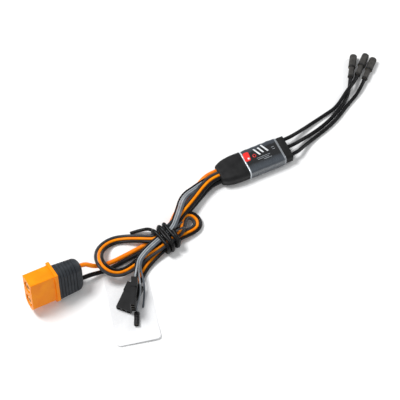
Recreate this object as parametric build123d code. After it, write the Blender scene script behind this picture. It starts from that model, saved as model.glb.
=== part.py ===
from build123d import *
import math
import os

os.makedirs("parts", exist_ok=True)

# A small brushless electronic speed controller for a model aircraft, in millimetres.
# X runs along the controller from its battery end to its motor end, Z is up, and the
# controller, its leads and its plugs all lie on the plane z = 0.

# ---------------------------------------------------------------- driving dimensions
SLEEVE_LENGTH = 20.6          # heat-shrunk sleeve over the circuit boards
SLEEVE_WIDTH = 14.5
SLEEVE_HEIGHT = 6.8
SLEEVE_WALL = 0.6
SLEEVE_CORNER = 1.5
MOTOR_END = 19.2              # outer face of the motor end seal
SLEEVE_START = -5.0
SLEEVE_END = SLEEVE_START + SLEEVE_LENGTH
BOOT_FACE = -19.2             # face of the boot that the battery side leads leave from
SEAL_THICKNESS = 1.6
MID_HEIGHT = SLEEVE_HEIGHT / 2

BOARD_WIDTH = 12.4
BOARD_LENGTH = 19.4
BOARD_THICKNESS = 0.8
BOARD_START = -4.6

POWER_WIRE = 2.2              # silicone battery lead, outside diameter
MOTOR_WIRE = 1.9
SIGNAL_WIRE = 1.5             # throttle lead, three wires side by side
SIGNAL_PITCH = 1.56
THIN_WIRE = 0.9               # four thin auxiliary wires, side by side
THIN_PITCH = 0.96

BULLET_LENGTH = 14.2          # socket and its two heat-shrink sleeves
BULLET_FRONT = 7.8            # length of the wider front sleeve
BULLET_BORE = 2.0
BULLET_BODY = 3.1
BULLET_SLEEVE = 3.9
BULLET_TAIL_SLEEVE = 2.9

CONNECTOR_HEIGHT = 18.0       # orange battery connector, long way of its face
CONNECTOR_WIDTH = 9.0
CONNECTOR_LENGTH = 12.4
CONNECTOR_BOOT = 13.2
FLANGE_THICKNESS = 1.6
CAVITY_DIAMETER = 6.2
CAVITY_DEPTH = 10.4
CONTACT_PITCH = 8.8
CONTACT_DIAMETER = 4.2
CONTACT_HOLE = 2.2

PLUG_LENGTH = 14.4            # three-way servo plug
PLUG_WIDTH = 7.8
PLUG_THICKNESS = 2.6
PLUG_PITCH = 2.54

TIE_LENGTH = 9.2              # wire tie wound round the leads
TIE_INNER = (11.2, 5.4)
TIE_OUTER = (14.2, 8.6)


# ---------------------------------------------------------------- small helpers
def save(shape, name):
    """Write one sub-part to its own STEP file."""
    shape.label = name
    export_step(shape, f"parts/{name}.step")


def block(x0, x1, y0, y1, z0, z1):
    """A box given by its two corners on each axis."""
    middle = Pos((x0 + x1) / 2, (y0 + y1) / 2, (z0 + z1) / 2)
    return middle * Box(x1 - x0, y1 - y0, z1 - z0)


def rod_x(x0, x1, y, z, diameter):
    """A round bar along X."""
    return Pos((x0 + x1) / 2, y, z) * Rot(0, 90, 0) * Cylinder(diameter / 2, x1 - x0)


def oval_section(x, width, height, corner, z=MID_HEIGHT):
    """A rounded rectangle across X, for lofts and extrusions."""
    return Plane(origin=(x, 0, z), x_dir=(0, 1, 0), z_dir=(1, 0, 0)) * RectangleRounded(width, height, corner)


def placed(point, heading, pitch=0.0, lean=0.0):
    """Where a piece lies: its +X turned to a heading, pitched up, and leant over."""
    return Pos(*point) * Rot(0, 0, heading) * Rot(0, -pitch, 0) * Rot(lean, 0, 0)


# ---------------------------------------------------------------- leads
def bend_radii(route):
    """The arc at each inner point of a route: as large as its two runs allow."""
    points = [Vector(*p) for p in route]
    radii = []
    for before, here, after in zip(points, points[1:], points[2:]):
        turn = (here - before).get_angle(after - here)
        shorter = min((here - before).length, (after - here).length)
        radii.append(0.45 * shorter / math.tan(math.radians(turn / 2)))
    return radii


def lead(route, diameter, name):
    """A round wire along a route of straight runs joined by tangent arcs."""
    radii = bend_radii(route)
    path = FilletPolyline(*route, radius=radii)
    section = Plane(origin=path @ 0, z_dir=path % 0) * Circle(diameter / 2)
    wire = sweep(section, path=path)
    ideal = math.pi * diameter**2 / 4 * path.length
    small = " ".join(f"{r:.1f}" for r in radii)
    print(f"{name}: {path.length:.1f} mm, volume {wire.volume / ideal:.4f} of ideal, radii {small}")
    save(wire, name)


def beside(route, offset, last=None):
    """The route of a wire that lies to the left of another by an offset, in plan."""
    shifted = []
    for i, (x, y, z) in enumerate(route):
        x0, y0 = route[max(i - 1, 0)][:2]
        x1, y1 = route[min(i + 1, len(route) - 1)][:2]
        into = math.atan2(y - y0, x - x0) if i > 0 else math.atan2(y1 - y, x1 - x)
        out = math.atan2(y1 - y, x1 - x) if i < len(route) - 1 else into
        turn = (out - into + math.pi) % (2 * math.pi) - math.pi
        side = into + turn / 2 + math.pi / 2
        reach = offset / math.cos(turn / 2)
        if last is not None and i == len(route) - 1:
            reach = last
        shifted.append((x + reach * math.cos(side), y + reach * math.sin(side), z))
    return shifted


# Routes, chosen point by point, from the controller outwards.
POSITIVE_ROUTE = [
    (-19.2, 3.1, 3.2), (-23.2, 3.1, 3.2), (-27.8, 2.2, 1.9), (-32.4, -0.8, 1.4),
    (-37.4, -3.8, 1.3), (-43.0, -6.3, 1.4), (-48.8, -10.7, 2.0), (-54.4, -16.8, 3.1),
    (-63.2, -19.2, 3.1), (-68.6, -19.7, 1.9), (-74.4, -20.0, 1.3), (-80.6, -20.6, 1.3),
    (-86.0, -21.5, 2.1), (-90.4, -22.0, 3.3), (-93.9, -22.2, 5.0), (-96.4, -22.4, 7.2),
    (-98.3, -22.5, 9.7), (-100.86, -22.00, 12.34), (-103.53, -22.19, 12.67),
]
NEGATIVE_ROUTE = [
    (-19.2, -3.1, 2.9), (-23.2, -3.1, 2.9), (-27.6, -4.2, 1.8), (-32.4, -6.6, 1.3),
    (-37.6, -9.4, 1.2), (-43.2, -12.6, 1.2), (-48.4, -16.2, 1.6), (-53.8, -19.1, 3.0),
    (-62.6, -21.5, 3.0), (-69.2, -22.4, 2.1), (-75.6, -22.7, 1.3), (-82.0, -23.3, 1.2),
    (-88.2, -24.2, 1.5), (-94.2, -24.5, 2.2), (-99.46, -24.19, 3.62), (-104.41, -24.53, 4.23),
]
THROTTLE_ROUTE = [
    (-19.2, -0.6, 4.9), (-23.2, -0.6, 4.9), (-29.0, -3.0, 4.8), (-34.6, -6.4, 4.6),
    (-39.8, -9.5, 4.8), (-45.2, -12.6, 5.4), (-49.6, -15.6, 5.9), (-54.2, -17.8, 5.3),
    (-58.7, -19.05, 5.45), (-63.2, -20.2, 5.2), (-66.6, -18.4, 4.7), (-70.6, -15.4, 3.1), (-75.4, -12.3, 1.6),
    (-80.6, -10.4, 1.0), (-85.6, -11.0, 1.8), (-89.9, -13.9, 3.9), (-92.4, -18.2, 6.6),
    (-93.2, -22.5, 8.6), (-92.4, -26.4, 8.6), (-89.9, -29.2, 7.1), (-86.2, -30.2, 5.2),
    (-81.6, -29.4, 3.6), (-76.6, -27.8, 2.8), (-71.2, -26.2, 3.2), (-66.3, -25.4, 3.9),
    (-61.7, -24.7, 4.4), (-57.3, -23.4, 4.55), (-52.9, -22.3, 4.4), (-49.5, -20.6, 4.3), (-47.4, -17.2, 4.0),
    (-45.5, -14.6, 3.7), (-42.7, -13.7, 3.2), (-40.4, -15.2, 2.4), (-39.4, -18.0, 1.8),
    (-40.7, -20.9, 1.6), (-43.9, -22.1, 1.9), (-48.2, -22.5, 2.4), (-52.7, -23.0, 2.9),
    (-57.1, -24.15, 3.05), (-61.5, -25.4, 2.9), (-66.2, -27.0, 2.0), (-71.0, -29.1, 1.4), (-75.0, -31.7, 1.4),
    (-78.3, -34.8, 1.8), (-81.4, -37.7, 1.85),
]
AUXILIARY_ROUTE = [
    (-19.2, 0.0, 3.2), (-23.2, 0.0, 3.2), (-28.4, -0.4, 3.5), (-33.8, -1.7, 3.4),
    (-38.6, -3.3, 4.6), (-42.4, -6.2, 5.9), (-45.4, -10.0, 6.8), (-48.6, -13.9, 7.4),
    (-53.7, -19.4, 6.6), (-62.5, -21.8, 6.6), (-67.4, -23.4, 5.8), (-71.6, -25.0, 5.0),
    (-75.2, -27.4, 4.8),
]
AUXILIARY_ENDS = {
    "black": [(-78.8, -31.1, 4.6), (-80.1, -34.75, 4.9), (-81.75, -37.95, 5.06)],
    "silver": [(-77.8, -31.2, 6.0), (-80.1, -34.75, 7.3), (-81.75, -37.95, 7.6)],
    "single": [(-77.2, -31.8, 4.7), (-78.6, -35.8, 4.4), (-79.9, -40.2, 4.2),
               (-81.7, -43.9, 3.9), (-83.8, -46.4, 2.5), (-85.5, -48.6, 1.6), (-86.7, -51.2, 1.55)],
    "slate": [(-76.2, -32.0, 4.6), (-77.0, -36.4, 4.4), (-78.1, -40.8, 3.9),
              (-79.7, -44.2, 2.4), (-81.3, -46.9, 1.1), (-82.8, -49.6, 0.8)],
}
MOTOR_ROUTES = {
    "a": [(19.2, 5.0, 4.2), (22.6, 5.0, 4.2), (28.0, 6.5, 2.8), (34.2, 8.2, 1.7),
          (40.8, 9.9, 1.2), (47.6, 11.4, 1.1), (53.6, 12.7, 1.2), (58.2, 15.2, 2.0),
          (62.6, 18.0, 3.2), (66.2, 20.0, 3.9), (69.9, 22.2, 2.6), (73.4, 25.5, 2.05)],
    "b": [(19.2, 0.2, 4.2), (22.6, 0.2, 4.2), (28.4, 1.9, 2.6), (34.8, 3.5, 1.4),
          (41.4, 5.2, 1.1), (47.4, 7.3, 1.1), (53.0, 10.0, 1.1), (58.2, 12.9, 1.1),
          (62.8, 16.6, 1.0), (66.2, 20.6, 1.1), (67.7, 23.3, 1.8), (69.5, 25.9, 2.0)],
    "c": [(19.2, -4.6, 4.2), (22.4, -4.6, 4.2), (26.4, -2.6, 2.9), (31.2, -0.6, 1.6),
          (36.6, 1.3, 1.1), (42.6, 3.0, 1.1), (48.4, 5.1, 1.1), (53.9, 7.9, 1.1),
          (58.6, 10.7, 1.1), (63.2, 13.2, 1.1), (67.6, 15.4, 1.3), (71.8, 18.4, 1.95),
          (75.6, 21.8, 2.05)],
}

TIE_CENTRE = (-57.8, -21.7, 4.45)
TIE_HEADING = 195.0
TIE_TAIL_ROUTE = [(-62.3, -15.1, 4.4), (-63.4, -13.0, 3.6), (-66.2, -11.6, 2.3), (-69.4, -10.6, 1.4), (-72.4, -10.2, 1.1)]
TIE_HOOK_ROUTES = [
    [(-53.3, -20.45, 7.9), (-50.6, -19.75, 7.9), (-48.0, -18.4, 7.5)],
    [(-52.9, -22.05, 7.9), (-50.2, -21.35, 7.8), (-47.4, -21.3, 7.0)],
]
TIE_WIRE = 1.7
TIE_HOOK_WIRE = 1.0

CONNECTOR_POINT = (-103.97, -23.36, 8.45)     # middle of the boot's rear face
CONNECTOR_TURN = (184.0, 7.0, 15.0)          # heading, pitch, lean
THROTTLE_PLUG = ((-81.45, -37.75, 1.85), (223.0, 0.0, 0.0))
AUXILIARY_PLUG = ((-81.75, -37.95, 7.6), (243.0, 0.0, 90.0))
SINGLE_PLUG = ((-86.7, -51.2, 1.55), (245.0, 0.0, 0.0))
TAG_CORNER = (-102.3, -63.2, 0.0)
TAG_TURN = -13.0
TAG_SIZE = (21.5, 38.5, 0.25)


# ---------------------------------------------------------------- controller body
outer = extrude(oval_section(SLEEVE_START, SLEEVE_WIDTH, SLEEVE_HEIGHT, SLEEVE_CORNER), SLEEVE_LENGTH)
inner_width = SLEEVE_WIDTH - 2 * SLEEVE_WALL
inner_height = SLEEVE_HEIGHT - 2 * SLEEVE_WALL
inner = oval_section(SLEEVE_START, inner_width, inner_height, SLEEVE_CORNER - SLEEVE_WALL)
sleeve = outer - extrude(inner, SLEEVE_LENGTH)
save(sleeve, "heat_shrink_sleeve")

# Black seal that closes the motor end; its tongue fills the mouth of the sleeve.
motor_wire_places = [MOTOR_ROUTES[key][0][1:] for key in "abc"]
seal = extrude(oval_section(SLEEVE_END, SLEEVE_WIDTH - 1.0, SLEEVE_HEIGHT - 0.6, 1.6), MOTOR_END - SLEEVE_END)
seal += extrude(oval_section(SLEEVE_END - 1.2, inner_width - 0.1, inner_height - 0.1, 0.8), 1.2)
for y, z in motor_wire_places:
    seal -= rod_x(SLEEVE_END - 2, MOTOR_END + 1, y, z, MOTOR_WIRE)
save(seal, "motor_end_seal")

# Boards and what is on them, from the bottom of the stack up.
SPREADER_BOTTOM = SLEEVE_WALL + 0.1
PAD_BOTTOM = SPREADER_BOTTOM + 0.7
MOSFET_BOTTOM = PAD_BOTTOM + 0.3
POWER_BOARD_BOTTOM = MOSFET_BOTTOM + 0.7
POWER_BOARD_TOP = POWER_BOARD_BOTTOM + BOARD_THICKNESS
CONTROL_BOARD_BOTTOM = POWER_BOARD_TOP + 0.9
CONTROL_BOARD_TOP = CONTROL_BOARD_BOTTOM + 0.6
half_board = BOARD_WIDTH / 2
board_end = BOARD_START + BOARD_LENGTH - 0.6

save(block(-1.5, 13.0, -5.8, 5.8, SPREADER_BOTTOM, PAD_BOTTOM), "heat_spreader")
save(block(-1.2, 12.7, -5.5, 5.5, PAD_BOTTOM, MOSFET_BOTTOM), "thermal_pad")
power_board = block(BOARD_START, board_end, -half_board, half_board, POWER_BOARD_BOTTOM, POWER_BOARD_TOP)
save(power_board, "power_board")
save(block(-2.4, 11.4, -half_board + 0.3, half_board - 0.3, CONTROL_BOARD_BOTTOM, CONTROL_BOARD_TOP), "control_board")

MOSFET_SIZE = 3.3
mosfets = []
for column in range(3):
    for row in (-2.6, 2.6):
        x = 0.4 + column * 4.3
        low, high = row - MOSFET_SIZE / 2, row + MOSFET_SIZE / 2
        mosfets.append(block(x, x + MOSFET_SIZE, low, high, MOSFET_BOTTOM, POWER_BOARD_BOTTOM))
save(Compound(mosfets), "mosfets")

save(block(1.6, 6.2, -2.3, 2.3, CONTROL_BOARD_TOP, CONTROL_BOARD_TOP + 0.8), "controller_chip")
drivers = [block(7.4, 9.4, y - 1, y + 1, CONTROL_BOARD_TOP, CONTROL_BOARD_TOP + 0.7) for y in (-3.6, 0.0, 3.6)]
save(Compound(drivers), "gate_drivers")
regulators = [block(-0.4, 1.2, y - 1.3, y + 1.3, CONTROL_BOARD_TOP, CONTROL_BOARD_TOP + 0.9) for y in (-4.2, 4.2)]
save(Compound(regulators), "voltage_regulators")
save(block(2.2, 5.2, 2.8, 5.6, CONTROL_BOARD_TOP, CONTROL_BOARD_TOP + 1.3), "regulator_inductor")

ceramics = []
for x in (1.8, 4.4, 7.0, 9.4):
    for y in (-1.6, 1.6):
        ceramics.append(block(x - 0.8, x + 0.8, y - 0.4, y + 0.4, POWER_BOARD_TOP, POWER_BOARD_TOP + 0.7))
save(Compound(ceramics), "ceramic_capacitors")
resistors = []
for i in range(6):
    x = 2.0 + i * 0.9
    resistors.append(block(x - 0.25, x + 0.25, -4.2, -3.2, CONTROL_BOARD_TOP, CONTROL_BOARD_TOP + 0.35))
save(Compound(resistors), "resistors")
pins = []
for x in (2.0, 5.0, 8.0):
    for y in (-5.0, 5.0):
        gap = CONTROL_BOARD_BOTTOM - POWER_BOARD_TOP
        pins.append(Pos(x, y, POWER_BOARD_TOP + gap / 2) * Cylinder(0.3, gap))
save(Compound(pins), "board_pins")

# Ends of the three motor wires, through the seal and onto the power board.
motor_tails = [rod_x(12.0, MOTOR_END, y, z, MOTOR_WIRE) for y, z in motor_wire_places]
save(Compound(motor_tails), "motor_wire_ends")

# ---------------------------------------------------------------- battery end
BOOT_SECTIONS = [(-5.0, 14.6, 6.9, 2.0), (-10.5, 14.7, 7.2, 3.0), (-15.0, 13.2, 7.0, 3.2), (-19.2, 10.0, 5.9, 2.5)]
BOOT_WALL = 0.6


def boot_shape(thinner, start_shift):
    """The boot's outside, or its inside when made thinner all round."""
    sections = []
    for x, width, height, corner in BOOT_SECTIONS:
        middle = height / 2 if x > BOOT_FACE + 1 else 3.7
        shift = start_shift if x == BOOT_SECTIONS[0][0] else 0
        size = (width - 2 * thinner, height - 2 * thinner, corner - thinner)
        sections.append(oval_section(x + shift, *size, z=middle))
    return loft(sections, ruled=False)


boot = boot_shape(0, 0) - boot_shape(BOOT_WALL, 0.01)
boot &= block(BOOT_FACE, SLEEVE_START, -9, 9, 0, 9)
save(boot, "capacitor_boot")

seal_space = boot_shape(BOOT_WALL + 0.02, 0)
boot_seal = seal_space & block(BOOT_FACE, BOOT_FACE + SEAL_THICKNESS, -9, 9, -1, 9)
save(boot_seal, "boot_seal")

CAN_DIAMETER = 3.8
CAN_LENGTH = 6.3
CAN_PLACES = (-2.1, 2.1)
CAN_HEIGHT = 2.8
can_start = -6.5
cans = [rod_x(can_start - CAN_LENGTH, can_start, y, CAN_HEIGHT, CAN_DIAMETER) for y in CAN_PLACES]
save(Compound(cans), "capacitor_cans")
bungs = [rod_x(can_start, can_start + 0.6, y, CAN_HEIGHT, CAN_DIAMETER - 0.6) for y in CAN_PLACES]
save(Compound(bungs), "capacitor_bungs")
pins_z = POWER_BOARD_TOP + 0.25
legs = []
for y in CAN_PLACES:
    for side in (-0.8, 0.8):
        legs.append(rod_x(can_start + 0.6, BOARD_START + 1.4, y + side, pins_z, 0.5))
save(Compound(legs), "capacitor_legs")

INSIDE_FACE = BOOT_FACE + SEAL_THICKNESS


def inner_wire(points, diameter):
    """A short wire end inside the boot, bent once on its way to the boards."""
    path = FilletPolyline(*points, radius=1.4)
    section = Plane(origin=path @ 0, z_dir=path % 0) * Circle(diameter / 2)
    return sweep(section, path=path)


battery_tails = []
for side, place in ((1, POSITIVE_ROUTE[0]), (-1, NEGATIVE_ROUTE[0])):
    y, z = place[1:]
    points = [(INSIDE_FACE, y, z), (INSIDE_FACE + 1.4, y, z), (-12.4, side * 5.1, 4.1), (-3.0, side * 5.1, 4.25)]
    battery_tails.append(inner_wire(points, 2.0))
save(Compound(battery_tails), "battery_wire_ends")

signal_height = CONTROL_BOARD_TOP + 0.75
signal_tails = []
for i in (-1, 0, 1):
    start_y, start_z = THROTTLE_ROUTE[0][1] + i * SIGNAL_PITCH, THROTTLE_ROUTE[0][2]
    y = -0.5 + i * 1.4
    points = [(INSIDE_FACE, start_y, start_z), (INSIDE_FACE + 1.2, start_y, start_z)]
    points += [(-13.0, y, signal_height), (-1.8, y, signal_height)]
    signal_tails.append(inner_wire(points, 1.3))
for i, y in enumerate((-3.1, 2.05, 2.95, 3.75)):
    start_y, start_z = (i - 1.5) * THIN_PITCH, AUXILIARY_ROUTE[0][2]
    points = [(INSIDE_FACE, start_y, start_z), (INSIDE_FACE + 1.2, start_y, start_z)]
    points += [(-13.2, y, 5.2), (-1.8, y, 5.2)]
    signal_tails.append(inner_wire(points, 0.8))
save(Compound(signal_tails), "signal_wire_ends")

# ---------------------------------------------------------------- battery leads and connector
lead(POSITIVE_ROUTE, POWER_WIRE, "battery_lead_positive")
lead(NEGATIVE_ROUTE, POWER_WIRE, "battery_lead_negative")


def shield(x, width, height, chamfer):
    """The connector's section: square at the top, both lower corners cut off."""
    w, h = width / 2, height / 2
    corners = [(-w, h), (-w, chamfer - h), (chamfer - w, -h), (w - chamfer, -h), (w, chamfer - h), (w, h)]
    return Plane(origin=(x, 0, 0), x_dir=(0, 1, 0), z_dir=(1, 0, 0)) * Polygon(*corners, align=None)


at_connector = placed(CONNECTOR_POINT, *CONNECTOR_TURN)
flange_end = CONNECTOR_BOOT + FLANGE_THICKNESS
connector_face = flange_end + CONNECTOR_LENGTH
NECK_START = 8.2
NECK_WIDTH = 5.4
NECK_HEIGHT = 14.4
cavity_floor = connector_face - CAVITY_DEPTH
contact_heights = (CONTACT_PITCH / 2, -CONTACT_PITCH / 2)

housing = extrude(shield(flange_end, CONNECTOR_WIDTH, CONNECTOR_HEIGHT, 2.2), CONNECTOR_LENGTH)
housing = fillet(housing.edges().filter_by(Axis.X), 0.5)
housing += extrude(shield(CONNECTOR_BOOT, CONNECTOR_WIDTH + 1.5, CONNECTOR_HEIGHT + 1.5, 2.4), FLANGE_THICKNESS)
housing += extrude(shield(NECK_START, NECK_WIDTH, NECK_HEIGHT, 1.4), CONNECTOR_BOOT - NECK_START)
for z in contact_heights:
    housing -= rod_x(cavity_floor, connector_face + 1, 0, z, CAVITY_DIAMETER)
    housing -= rod_x(CONNECTOR_BOOT, cavity_floor + 1, 0, z, 3.0)
    housing -= rod_x(NECK_START - 1, CONNECTOR_BOOT, 0, z, 4.4)
save(at_connector * housing, "connector_housing")


def battery_contact(z):
    """A gold contact: split tube at the front, solder cup at the back."""
    contact = rod_x(CONNECTOR_BOOT, cavity_floor + 0.4, 0, z, 3.0)
    contact += rod_x(cavity_floor + 0.4, connector_face - 0.4, 0, z, CONTACT_DIAMETER)
    contact += rod_x(NECK_START - 1.4, CONNECTOR_BOOT, 0, z, 4.4)
    contact -= rod_x(cavity_floor + 1.5, connector_face, 0, z, CONTACT_HOLE)
    contact -= rod_x(NECK_START - 2, CONNECTOR_BOOT - 1.5, 0, z, POWER_WIRE)
    slot_start = cavity_floor + 3.0
    contact -= block(slot_start, connector_face, -3, 3, z - 0.2, z + 0.2)
    return contact


for name, z in zip(("positive", "negative"), contact_heights):
    save(at_connector * battery_contact(z), f"battery_contact_{name}")

connector_tails = [rod_x(0, CONNECTOR_BOOT - 1.5, 0, z, POWER_WIRE) for z in contact_heights]
save(at_connector * Compound(connector_tails), "connector_wire_ends")

BOOT_RIBS = 6


def boot_section(x, width, height, corner):
    """The boot's section: a rounded rectangle about the connector's middle line."""
    return oval_section(x, width, height, corner, z=0)


tip = loft([boot_section(0, 6.0, 13.4, 2.6), boot_section(1.0, 7.8, 16.0, 3.0), boot_section(2.8, 8.8, 17.4, 3.2)])
barrel = loft([boot_section(2.8, 8.8, 17.4, 3.2), boot_section(CONNECTOR_BOOT, 9.6, 18.4, 3.2)])
rubber = tip + barrel
for i in range(BOOT_RIBS):
    x = 3.4 + i * 1.6
    around = extrude(boot_section(x, 12.0, 20.0, 3.0), 0.5)
    core = extrude(boot_section(x, 8.1 + i * 0.12, 16.7 + i * 0.15, 3.0), 0.5)
    rubber -= around - core
rubber -= extrude(shield(NECK_START, NECK_WIDTH, NECK_HEIGHT, 1.4), CONNECTOR_BOOT)
rubber -= extrude(shield(NECK_START - 1.6, 5.4, 14.2, 1.4), 1.6)
for z in contact_heights:
    rubber -= rod_x(-1, NECK_START, 0, z, POWER_WIRE)
save(at_connector * rubber, "connector_boot")

# ---------------------------------------------------------------- throttle lead and its plug
lead(beside(THROTTLE_ROUTE, -SIGNAL_PITCH, last=-1.8), SIGNAL_WIRE, "throttle_wire_grey")
lead(THROTTLE_ROUTE, SIGNAL_WIRE, "throttle_wire_orange")
lead(beside(THROTTLE_ROUTE, SIGNAL_PITCH, last=1.8), SIGNAL_WIRE, "throttle_wire_black")


def plug_housing():
    """A three-way servo plug: collar at the wires, one long edge bevelled, a latch window per way."""
    half, deep = PLUG_WIDTH / 2, PLUG_THICKNESS / 2
    body = block(0, PLUG_LENGTH, -half, half, -deep, deep)
    bevelled = body.edges().filter_by(Axis.X).sort_by(Axis.Y)[-2:].sort_by(Axis.Z)[:1]
    body = chamfer(bevelled, 0.7)
    body += block(0, 5.0, -half - 0.3, half + 0.3, -deep - 0.2, deep + 0.2)
    for i in (-1, 0, 1):
        y = i * PLUG_PITCH
        body -= block(4.0, PLUG_LENGTH + 1, y - 0.8, y + 0.8, -0.8, 0.8)
        body -= block(7.6, 10.4, y - 0.6, y + 0.6, -deep - 1, 0)
    return body


def plug_contacts():
    """Three square sprung contacts that sit in the plug's cavities."""
    contacts = []
    for i in (-1, 0, 1):
        y = i * PLUG_PITCH
        shell = block(4.4, PLUG_LENGTH - 0.6, y - 0.7, y + 0.7, -0.7, 0.7)
        contacts.append(shell - block(5.4, PLUG_LENGTH, y - 0.4, y + 0.4, -0.4, 0.4))
    return Compound(contacts)


for name, (point, turn) in (("throttle", THROTTLE_PLUG), ("auxiliary", AUXILIARY_PLUG)):
    save(placed(point, *turn) * plug_housing(), f"{name}_plug_housing")
    save(placed(point, *turn) * plug_contacts(), f"{name}_plug_contacts")

# ---------------------------------------------------------------- thin auxiliary wires
for i, (name, ends) in enumerate(AUXILIARY_ENDS.items()):
    route = beside(AUXILIARY_ROUTE, (i - 1.5) * THIN_PITCH) + ends
    lead(route, THIN_WIRE, f"auxiliary_wire_{name}")

SINGLE_PLUG_LENGTH = 6.6
SINGLE_PLUG_DIAMETER = 2.6
single = rod_x(0, SINGLE_PLUG_LENGTH, 0, 0, SINGLE_PLUG_DIAMETER)
for i in range(3):
    x = 1.2 + i * 1.4
    single -= rod_x(x, x + 0.5, 0, 0, 3.0) - rod_x(x, x + 0.5, 0, 0, 2.1)
single -= rod_x(1.6, SINGLE_PLUG_LENGTH + 1, 0, 0, 1.5)
at_single = placed(SINGLE_PLUG[0], *SINGLE_PLUG[1])
save(at_single * single, "single_plug_housing")
single_contact = rod_x(1.6, SINGLE_PLUG_LENGTH - 0.5, 0, 0, 1.5) - rod_x(2.6, SINGLE_PLUG_LENGTH, 0, 0, 0.9)
save(at_single * single_contact, "single_plug_contact")

# ---------------------------------------------------------------- motor leads and their bullet sockets
bullet_tails = []
for key, route in MOTOR_ROUTES.items():
    lead(route, MOTOR_WIRE, f"motor_lead_{key}")
    end, before = Vector(*route[-1]), Vector(*route[-2])
    run = end - before
    heading = math.degrees(math.atan2(run.Y, run.X))
    at_bullet = placed(route[-1], heading)
    split = BULLET_LENGTH - BULLET_FRONT
    cup_start = 3.0
    socket = rod_x(cup_start, split, 0, 0, 2.4) + rod_x(split, BULLET_LENGTH, 0, 0, BULLET_BODY)
    socket -= rod_x(split + 0.8, BULLET_LENGTH + 1, 0, 0, BULLET_BORE)
    front = rod_x(split, BULLET_LENGTH, 0, 0, BULLET_SLEEVE) - rod_x(split, BULLET_LENGTH, 0, 0, BULLET_BODY)
    tail = rod_x(0, split, 0, 0, BULLET_TAIL_SLEEVE)
    tail -= rod_x(0, cup_start, 0, 0, MOTOR_WIRE) + rod_x(cup_start, split, 0, 0, 2.4)
    save(at_bullet * socket, f"bullet_socket_{key}")
    save(at_bullet * front, f"bullet_front_sleeve_{key}")
    save(at_bullet * tail, f"bullet_tail_sleeve_{key}")
    bullet_tails.append(at_bullet * rod_x(0, cup_start, 0, 0, MOTOR_WIRE))
save(Compound(bullet_tails), "bullet_wire_ends")

# ---------------------------------------------------------------- wire tie and paper tag
tie_section = Plane(origin=(-TIE_LENGTH / 2, 0, 0), x_dir=(0, 1, 0), z_dir=(1, 0, 0))
ring = extrude(tie_section * RectangleRounded(*TIE_OUTER, 3.8), TIE_LENGTH)
ring -= extrude(tie_section * RectangleRounded(*TIE_INNER, 1.6), TIE_LENGTH)
save(placed(TIE_CENTRE, TIE_HEADING) * ring, "lead_tie")
lead(TIE_TAIL_ROUTE, TIE_WIRE, "tie_tail")
hooks = []
for route in TIE_HOOK_ROUTES:
    path = FilletPolyline(*route, radius=bend_radii(route))
    section = Plane(origin=path @ 0, z_dir=path % 0) * Circle(TIE_HOOK_WIRE / 2)
    hooks.append(sweep(section, path=path))
save(Compound(hooks), "tie_hooks")

tag = block(0, TAG_SIZE[0], 0, TAG_SIZE[1], 0, TAG_SIZE[2])
tag = fillet(tag.edges().filter_by(Axis.Z), 2.0)
save(Pos(*TAG_CORNER) * Rot(0, 0, TAG_TURN) * tag, "paper_tag")
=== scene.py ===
import math

import bmesh
import bpy
from mathutils import Matrix, Vector


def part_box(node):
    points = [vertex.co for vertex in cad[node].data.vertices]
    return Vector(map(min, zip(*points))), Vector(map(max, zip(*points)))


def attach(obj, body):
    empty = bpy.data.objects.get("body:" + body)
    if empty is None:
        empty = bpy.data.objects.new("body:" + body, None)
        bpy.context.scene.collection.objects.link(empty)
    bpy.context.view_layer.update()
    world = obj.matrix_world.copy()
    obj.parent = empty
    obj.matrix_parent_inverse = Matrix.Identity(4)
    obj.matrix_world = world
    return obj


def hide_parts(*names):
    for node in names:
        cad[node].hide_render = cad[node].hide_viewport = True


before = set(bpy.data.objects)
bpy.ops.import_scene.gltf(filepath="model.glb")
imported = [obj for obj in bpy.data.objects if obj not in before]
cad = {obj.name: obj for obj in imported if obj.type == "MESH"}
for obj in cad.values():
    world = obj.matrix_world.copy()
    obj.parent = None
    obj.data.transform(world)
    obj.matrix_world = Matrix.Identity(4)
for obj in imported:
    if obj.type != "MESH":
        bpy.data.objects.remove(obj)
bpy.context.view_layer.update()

# ---------------------------------------------------------------- studio
# A white table top under a large soft lamp, as for a shop picture. The lamp stands beyond
# the part, so that each lead throws a short soft shadow towards the viewer.
aim = Vector((-0.0329, -0.00695, 0.0))
back = Vector((-0.2113, -0.4532, 0.8660))
camera = bpy.data.objects.new("camera", bpy.data.cameras.new("camera"))
camera.data.lens = 126
camera.data.sensor_width = 36
camera.data.clip_start = 0.01
camera_distance = 0.7
camera.location = aim + back * camera_distance
camera.rotation_euler = back.to_track_quat("Z", "Y").to_euler()
bpy.context.scene.collection.objects.link(camera)
bpy.context.scene.camera = camera
bpy.context.scene.view_settings.view_transform = "Standard"


def softbox(name, place, size, power):
    lamp = bpy.data.lights.new(name, "AREA")
    lamp.shape = "DISK"
    lamp.size = size
    lamp.energy = power
    holder = bpy.data.objects.new(name, lamp)
    holder.location = place
    holder.rotation_euler = (Vector(place) - aim).to_track_quat("Z", "Y").to_euler()
    bpy.context.scene.collection.objects.link(holder)


softbox("key", (-0.30, 0.30, 0.70), 0.30, 5.4)
softbox("rim", (0.50, 0.05, 0.30), 0.16, 0.7)
softbox("fill", (-0.45, -0.50, 0.45), 0.5, 0.9)

world = bpy.data.worlds.new("pale room")
bpy.context.scene.world = world
world.use_nodes = True
world.node_tree.nodes["Background"].inputs["Color"].default_value = (0.98, 0.99, 1.0, 1)
world.node_tree.nodes["Background"].inputs["Strength"].default_value = 0.4

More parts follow.
